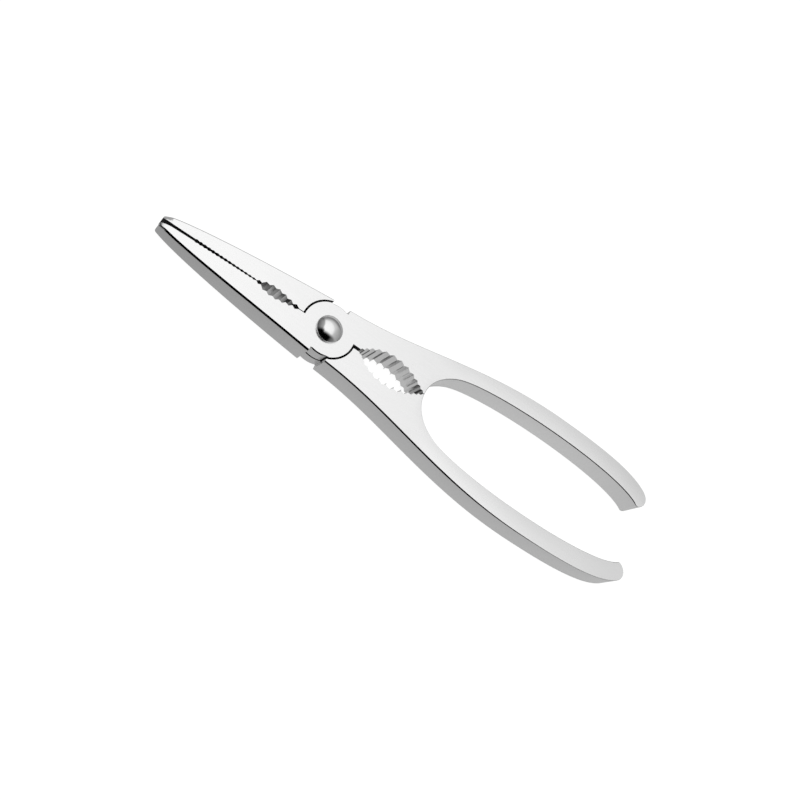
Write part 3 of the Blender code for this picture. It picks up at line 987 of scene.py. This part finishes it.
    def outline(self) -> list:
        """Draw the arm's outline, anticlockwise.

        Returns:
            Each point, with the edge break's share and the wall's kind on the edge that
            starts there.
        """
        jaw_wall = -acos(-self.jaw_stop_x / self.disc_radius)
        grip_wall = acos(self.grip_stop_x / self.disc_radius)
        slot = asin(self.slot_half_gap / self.disc_radius)
        seam = pi + asin(self.half_seam / self.disc_radius)
        shell, claw = [opening.rough_wall(self.spacing, self.half_seam)
                       for opening in (self.shell, self.claw)]
        inner_tip = (-self.jaw_length, -self.tip_half_gap)
        lead = (self.lead_length - self.jaw_length, -self.lead_half_gap)
        ground, flute, lap = SurfaceKind.GROUND, SurfaceKind.FLUTE, SurfaceKind.LAP
        # Walls of the lap kind, along the disc inside the joint and along the seam by the tip, take
        # the lap finish, whose near-black grey is painted shade.
        stretches = [
            (self.jaw_outer(), 1.0, ground),
            (self.arc(jaw_wall, -grip_wall), self.disc_break_share, ground),
            (self.arc(-grip_wall, slot)[1:], 0.0, lap),
            ([(self.shell.start_x, self.slot_half_gap)] + shell, 0.0, flute),
            (self.grip_inner() + self.grip_outer()[:1], self.grip_inner_break_share, ground),
            (self.grip_outer(), self.grip_outer_break_share, ground),
            (self.arc(grip_wall, -jaw_wall), self.disc_break_share, ground),
            (self.arc(-jaw_wall, seam)[1:], 0.0, lap),
            (claw, 0.0, flute),
            ([(self.claw.end_x, -self.half_seam), lead, inner_tip], 0.0, lap),
            ([inner_tip, self.jaw_outer()[0]], 0.0, ground),
        ]
        outline = []
        for points, share, kind in stretches:
            outline += [(x, y, self.narrowed(x, share), kind) for x, y in points[:-1]]
            outline.append((*points[-1], 0.0, kind))
        return [now for now, after in zip(outline, outline[1:] + outline[:1])
                if (Vector(now[:2]) - Vector(after[:2])).length > self.same_place]

    def blank(self) -> bpy.types.Mesh:
        """Extrude the outline, taper the jaw and mark the edges that are broken.

        Returns:
            The mesh.
        """
        outline = self.outline()
        solid = bmesh.new()
        weight = solid.edges.layers.float.new("bevel_weight_edge")
        rear, front = [[solid.verts.new((x, y, z)) for x, y, _, _ in outline]
                       for z in (-self.half_thickness, self.half_thickness)]
        solid.faces.new(rear[::-1])
        solid.faces.new(front)
        for i, (_, _, share, kind) in enumerate(outline):
            j = (i + 1) % len(outline)
            wall = solid.faces.new((rear[i], rear[j], front[j], front[i]))
            wall.material_index = kind.value
            for ends in ((rear[i], rear[j]), (front[i], front[j])):
                solid.edges.get(ends)[weight] = share
        for place in self.stations():
            everything = solid.verts[:] + solid.edges[:] + solid.faces[:]
            bmesh.ops.bisect_plane(solid, geom=everything, plane_co=(-place, 0, 0),
                                   plane_no=(1, 0, 0))
        for vertex in solid.verts:
            vertex.co.z *= self.jaw_taper(vertex.co.x)
        return finished_mesh(solid, "arm_forging")

    def cutters(self, trees: CutterTrees, materials: dict) -> list:
        """Grow the tools that mill the scallops and notch the jaw's teeth.

        Args:
            trees: Geometry Nodes trees.
            materials: Material for each kind of surface, which the cut walls get.

        Returns:
            Three meshes: for the shell opening, the claw opening and the teeth.
        """
        common = {"Half Thickness": self.half_thickness, "Least Height": self.half_seam,
                  "Sides": self.tool_sides, "Corner Reach": self.corner_reach,
                  "Material": materials[SurfaceKind.FLUTE]}
        milling = [opening.tools(trees.flutes, common) for opening in (self.shell, self.claw)]
        run = self.jaw_length - self.lead_length + self.claw.end_x
        # The teeth's walls take the lap finish, whose near-black grey is painted shade.
        teeth = grow("tooth_tools", trees.notches, {
            "Count": self.tooth_count, "Start X": self.claw.end_x,
            "End X": self.tip_land - self.jaw_length, "Start Y": -self.half_seam,
            "Slope": -(self.lead_half_gap - self.half_seam) / run, "Depth": self.tooth_depth,
            "Width Share": self.tooth_width_share, "Half Thickness": self.half_thickness,
            "Material": materials[SurfaceKind.LAP]})
        return milling + [teeth]

    def strike(self, materials: dict, trees: CutterTrees) -> bpy.types.Mesh:
        """Make the forging with its edges broken and its openings milled.

        Args:
            materials: Material for each kind of surface.
            trees: Geometry Nodes trees of the cutting tools.

        Returns:
            The mesh.
        """
        piece = add_piece("arm_forging", self.blank())
        for kind in SurfaceKind:
            piece.data.materials.append(materials[kind])
        rounding = piece.modifiers.new("broken_edges", "BEVEL")
        rounding.limit_method = "WEIGHT"
        rounding.width = self.edge_break
        rounding.profile = self.edge_profile
        rounding.segments = self.edge_segments
        rounding.use_clamp_overlap = False
        rounding.material = SurfaceKind.EDGE.value
        *milling, teeth = self.cutters(trees, materials)
        tools = [cut(piece, mesh, True) for mesh in milling] + [cut(piece, teeth, False)]
        mesh = finish_cuts(piece, tools)
        bpy.data.objects.remove(piece)
        log.info("arm_forging: %d faces", len(mesh.polygons))
        return mesh


@dataclass
class LobsterArm:
    """One arm: the forging, recessed and bored at the pivot, and turned over at the rear."""

    place: ArmPlace
    forging: ArmForging
    half_lap_gap: float = 0.15 * MM
    lap_break: float = 0.5 * MM       # the disc's inner edge is broken by this much
    mouth_ease: float = 0.12 * MM
    recess_sides: int = 128
    bore_radius: float = 3.3 * MM
    bore_overrun: float = 1.0 * MM    # of its tool past the arm's faces
    bore_sides: int = 96
    sink_radius: float = 4.6 * MM
    sink_depth: float = 1.3 * MM
    smooth_angle: float = radians(32)     # faces that meet at less are shaded as one
    # Corners of the facet on the rear arm's tip: X, Y and how far below the front
    facet_points: tuple = ((-62.4 * MM, 0.8 * MM, 0.0), (-59.0 * MM, 2.7 * MM, 0.0),
                           (-62.4 * MM, 2.05 * MM, 0.7 * MM))

    def pivot_tools(self) -> list:
        """Make the tools that cut the recess round the pivot and the rivet's bore.

        The recess leaves half the thickness, and its mouth is eased. The rear arm's bore
        has a countersink, whose cone runs on through the face, so that no corner lies in it.

        Returns:
            Their meshes.
        """
        face = self.forging.half_thickness
        radius, ease = self.forging.recess_radius, self.mouth_ease
        recess = [(radius + 2 * ease, -face - ease), (radius, ease - face),
                  (radius, self.half_lap_gap + self.lap_break),
                  (self.forging.disc_radius - self.lap_break, self.half_lap_gap)]
        roof = face + self.bore_overrun
        bore = [(self.bore_radius, -roof), (self.bore_radius, roof)]
        if self.place.turned_over:
            flare = self.sink_radius - self.bore_radius
            bore[1:] = [(self.bore_radius, face - self.sink_depth),
                        (self.sink_radius + flare, face + self.sink_depth)]
        return [turned_mesh("recess_tool", recess, self.recess_sides),
                turned_mesh("bore_tool", bore, self.bore_sides)]

    def rub_tip(self, mesh: bpy.types.Mesh) -> None:
        """Rub the front of the tip down, as use leaves it.

        Args:
            mesh: The arm's mesh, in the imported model's place.
        """
        middle = self.forging.half_thickness
        for vertex in mesh.vertices:
            fall = self.forging.roll(vertex.co.x)
            if fall > 0 and vertex.co.z > middle:
                half = middle * self.forging.jaw_taper(vertex.co.x)
                vertex.co.z -= fall * (vertex.co.z - middle) / half

    def face_tip(self, mesh: bpy.types.Mesh) -> None:
        """Grind the small facet on the front of the rear arm's tip.

        Args:
            mesh: The arm's mesh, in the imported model's place.
        """
        corners = []
        for x, y, fall in self.facet_points:
            height = self.forging.half_thickness * (1 + self.forging.jaw_taper(x))
            corners.append(Vector((x, y, height - self.forging.roll(x) - fall)))
        normal = (corners[1] - corners[0]).cross(corners[2] - corners[0])
        normal *= 1 if normal.z > 0 else -1
        solid = bmesh.new()
        solid.from_mesh(mesh)
        everything = solid.verts[:] + solid.edges[:] + solid.faces[:]
        sliced = bmesh.ops.bisect_plane(solid, geom=everything, plane_co=corners[0],
                                        plane_no=normal, clear_outer=True)
        rim = [part for part in sliced["geom_cut"] if isinstance(part, bmesh.types.BMEdge)]
        for face in bmesh.ops.contextual_create(solid, geom=rim)["faces"]:
            face.material_index = SurfaceKind.GROUND.value
        bmesh.ops.recalc_face_normals(solid, faces=solid.faces[:])
        solid.to_mesh(mesh)
        solid.free()

    def build(self, struck: bpy.types.Mesh, materials: dict) -> bpy.types.Object:
        """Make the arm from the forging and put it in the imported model's place.

        Args:
            struck: The forging's mesh.
            materials: Material for each kind of surface.

        Returns:
            The finished arm.
        """
        arm = add_piece(self.place.value + "_forging", struck.copy())
        meshes = self.pivot_tools()
        # The recess and bore walls take the lap finish, whose near-black grey is painted shade.
        for mesh in meshes:
            mesh.materials.append(materials[SurfaceKind.LAP])
        arm.data = finish_cuts(arm, [cut(arm, mesh, False) for mesh in meshes])

        turn = Matrix.Rotation(pi if self.place.turned_over else 0.0, 4, "X")
        arm.data.transform(Matrix.Translation((0, 0, self.forging.half_thickness)) @ turn)
        self.rub_tip(arm.data)
        if self.place.turned_over:
            self.face_tip(arm.data)
        arm.data.shade_smooth()
        arm.data.set_sharp_from_angle(angle=self.smooth_angle)
        normals = arm.modifiers.new("flat_face_normals", "WEIGHTED_NORMAL")
        normals.keep_sharp = True
        freeze(arm)
        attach(arm, self.place.body)
        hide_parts(self.place.value)
        log.info("%s: %d faces, rides on %s", arm.name, len(arm.data.polygons), self.place.body)
        return arm


@dataclass
class DomedRivet:
    """The rivet: domed polished head in front, shank, and tail set flush at the rear."""

    seat: float = 9.66 * MM
    head_radius: float = 4.65 * MM
    rim_height: float = 0.64 * MM
    rim_round: float = 0.08 * MM
    dome_rise: float = 2.09 * MM
    shank_radius: float = 3.0 * MM
    tail_radius: float = 4.3 * MM
    tail_depth: float = 1.3 * MM
    tail_ease: float = 0.15 * MM          # the tail's rim is eased by this much
    ease_bend: tuple = (0.2, 0.5)         # middle of that ease, as shares of it
    dimple_depth: float = 0.05 * MM       # of the punch's mark in the tail
    dimple_shares: tuple = (0.55, 0.7)    # of the tail's radius, at its floor and its rim
    sides: int = 128
    dome_rows: int = 40
    smooth_angle: float = radians(40)     # faces that meet at less are shaded as one

    def profile(self) -> list:
        """Draw the rivet from its tail to the top of the dome.

        Returns:
            Radius and height of each row.
        """
        top = self.seat + self.rim_height + self.dome_rise
        dome_radius = (self.head_radius**2 + self.dome_rise**2) / (2 * self.dome_rise)
        spread = asin(self.head_radius / dome_radius)
        floor, lip = [self.tail_radius * share for share in self.dimple_shares]
        inward, upward = [self.tail_ease * share for share in self.ease_bend]
        rows = [(0.0, self.dimple_depth), (floor, self.dimple_depth), (lip, 0.0),
                (self.tail_radius - self.tail_ease, 0.0), (self.tail_radius - inward, upward),
                (self.shank_radius, self.tail_depth), (self.shank_radius, self.seat),
                (self.head_radius - self.rim_round, self.seat),
                (self.head_radius, self.seat + self.rim_round)]
        for row in range(self.dome_rows):
            angle = spread * (1 - row / self.dome_rows)
            rows.append((dome_radius * sin(angle), top - dome_radius * (1 - cos(angle))))
        return rows + [(0.0, top)]

    def build(self, material: bpy.types.Material) -> bpy.types.Object:
        """Make the rivet.

        Args:
            material: Its finish.

        Returns:
            The finished rivet.
        """
        rivet = add_piece("domed_rivet", turned_mesh("domed_rivet", self.profile(), self.sides))
        rivet.data.materials.append(material)
        rivet.data.shade_smooth()
        rivet.data.set_sharp_from_angle(angle=self.smooth_angle)
        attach(rivet, "rear_arm_and_rivet")
        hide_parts("pivot_rivet")
        log.info("%s: %d faces, rides on rear_arm_and_rivet", rivet.name, len(rivet.data.polygons))
        return rivet


@dataclass
class Studio:
    """The pale floor, lit from below as a light table, the soft light and the camera.

    A pair of numbers is the start and the end of a change, and four are these and the
    results there.
    """

    floor_half: float = 3.0
    floor_level: float = -0.1 * MM
    floor_glow: float = 0.58          # brightness of the floor as the tool reflects it
    floor_reach: float = 0.35         # how far from the tool that glow has halved
    floor_seen: float = 1.14          # brightness of the camera's floor
    floor_gain: float = 0.18          # part of that which takes shadows
    mottle_scale: float = 6.0
    mottle: tuple = (0.3, 0.7, 0.98, 1.02)
    table_lean: tuple = (0.5, 0.86)   # the way in which the light table gets brighter
    table: tuple = (-40.0 * MM, 60.0 * MM, 0.68, 1.22)

    light_base: float = 0.545
    light_slope: float = 0.42
    light_lean: float = -0.35         # the light falls off towards the grips
    soft_span: tuple = (-0.3, 1.1)    # on the leaning height
    overhead: tuple = (0.53, 0.78, 0.0, 0.28)     # on the same, added
    left_near: tuple = (-0.62, -0.47, 0.36, 1.0)  # on X
    left_far: tuple = (-1.0, -0.62, 0.3, 1.0)     # on X
    right: tuple = (0.5, 0.75, 1.0, 0.84)         # on X
    wall_span: tuple = (0.6, 0.85)                # on Y, the wall behind the tool
    wall_height: tuple = (0.2, 0.55, 1.0, 0.0)    # on Z
    wall_level: float = 0.5
    card_edge: tuple = (-0.54, -0.14)             # on Y, the dark card in front
    card_slant: tuple = (-0.5, -0.28, -0.2, 0.0)  # on X, added to Y
    card_sides: tuple = (0.42, 0.6)               # on X, where light comes in under it
    card_foot: tuple = (0.2, 0.42, 0.8, 0.0)      # on Z
    card_right: tuple = (0.42, 0.85, 0.0, 0.38)   # on X, the least light on the card

    lens: float = 46.216
    sensor: float = 36.0
    clip_start: float = 0.01
    eye: tuple = (-71.0 * MM, -161.6 * MM, 294.7 * MM)
    camera_right: tuple = (0.78953, 0.37198, 0.48813)
    camera_down: tuple = (0.53324, -0.80952, -0.24561)
    camera_forward: tuple = (0.30379, 0.45421, -0.83750)

    def build_floor(self) -> bpy.types.Object:
        """Lay the pale floor under the tool.

        Returns:
            The floor.
        """
        solid = bmesh.new()
        half = self.floor_half
        corners = [solid.verts.new((x, y, self.floor_level)) for x, y in
                   ((-half, -half), (half, -half), (half, half), (-half, half))]
        solid.faces.new(corners)
        floor = add_piece("pale_floor", finished_mesh(solid, "pale_floor"))
        material = bpy.data.materials.new("pale_floor")
        material.use_nodes = True
        web = NodeWeb(material.node_tree)
        shader = material.node_tree.nodes["Principled BSDF"]
        shader.inputs["Roughness"].default_value = 0.9
        shader.inputs["Specular IOR Level"].default_value = 0.0
        to_camera = web.add("ShaderNodeLightPath").outputs["Is Camera Ray"]
        where = web.add("ShaderNodeTexCoord").outputs["Object"]
        mottle = web.noise(where, Scale=self.mottle_scale, Detail=3.0)
        away = web.math("DIVIDE", web.vector("LENGTH", where).outputs["Value"], self.floor_reach)
        thinning = web.math("ADD", web.math("POWER", away, 2.0), 1.0)
        lean = web.vector("DOT_PRODUCT", where, (*self.table_lean, 0.0)).outputs["Value"]
        glow = web.product(web.math("DIVIDE", self.floor_glow, thinning),
                           web.ramp(lean, *self.table, False), web.ramp(mottle, *self.mottle))
        seen = self.floor_seen - self.floor_gain
        web.feed(shader.inputs["Emission Strength"], web.mix(to_camera, glow, seen))
        shader.inputs["Emission Color"].default_value = (1.0, 1.0, 1.0, 1.0)
        grey = web.mix(to_camera, 0.0, self.floor_gain)
        web.feed(shader.inputs["Base Color"], web.grey(grey))
        floor.data.materials.append(material)
        return floor

    def build_light(self) -> None:
        """Surround the tool with soft light.

        A broad bright zone overhead leans to the left and fades to the right, and a dark
        card stands low in front. It gets lighter to the right, and is open at both sides
        near the floor. X, Y and Z are parts of the direction that the light comes from.
        """
        world = bpy.data.worlds.new("soft_studio")
        bpy.context.scene.world = world
        world.use_nodes = True
        web = NodeWeb(world.node_tree)
        background = world.node_tree.nodes["Background"]
        x, y, z = web.split(web.add("ShaderNodeTexCoord").outputs["Generated"])

        lean = web.math("MULTIPLY_ADD", x, self.light_lean, z)
        levels = [self.light_base + self.light_slope * end for end in self.soft_span]
        soft = web.ramp(lean, *self.soft_span, *levels, False)
        soft = web.math("ADD", soft, web.ramp(lean, *self.overhead))
        across = web.product(web.ramp(x, *self.left_near), web.ramp(x, *self.left_far),
                             web.ramp(x, *self.right))

        wall = web.product(web.ramp(y, *self.wall_span), web.ramp(z, *self.wall_height))
        wall = web.ramp(wall, 0.0, 1.0, 1.0, self.wall_level, False)
        slanted = web.math("ADD", y, web.ramp(x, *self.card_slant))
        aside = web.math("ABSOLUTE", x)
        foot = web.product(web.ramp(z, *self.card_foot), web.ramp(aside, *self.card_sides))
        card = web.math("MAXIMUM", web.ramp(slanted, *self.card_edge), foot)
        card = web.math("MAXIMUM", card, web.ramp(x, *self.card_right))

        level = web.product(soft, across, web.product(wall, card))
        to_camera = web.add("ShaderNodeLightPath").outputs["Is Camera Ray"]
        web.feed(background.inputs["Strength"], web.mix(to_camera, level, 1.0))
        background.inputs["Color"].default_value = (1.0, 1.0, 1.0, 1.0)
        bpy.context.scene.view_settings.view_transform = "Standard"

    def build_camera(self) -> bpy.types.Object:
        """Set the camera where the photograph was taken from.

        Returns:
            The camera.
        """
        data = bpy.data.cameras.new("photo_view")
        data.lens = self.lens
        data.sensor_width = self.sensor
        data.clip_start = self.clip_start
        camera = bpy.data.objects.new("photo_view", data)
        bpy.context.scene.collection.objects.link(camera)
        up, back = [[-part for part in axis] for axis in (self.camera_down, self.camera_forward)]
        turn = Matrix((self.camera_right, up, back)).transposed()
        camera.matrix_world = Matrix.Translation(self.eye) @ turn.to_4x4()
        bpy.context.scene.camera = camera
        return camera


def main() -> None:
    """Build the tool, the floor, the light and the camera."""
    logging.basicConfig(level=logging.INFO, format="%(name)s: %(message)s")
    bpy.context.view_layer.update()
    effects = SteelEffects()
    trees = CutterTrees()
    finishes = SteelSet()
    arm_finishes = (finishes.ground, finishes.edge, finishes.flute, finishes.lap)
    materials = {kind: finish.build(effects) for kind, finish in zip(SurfaceKind, arm_finishes)}
    forging = ArmForging()
    struck = forging.strike(materials, trees)
    for place in ArmPlace:
        LobsterArm(place, forging).build(struck, materials)
    DomedRivet().build(finishes.dome.build(effects))
    studio = Studio()
    studio.build_floor()
    studio.build_light()
    studio.build_camera()


if __name__ == "__main__":
    main()
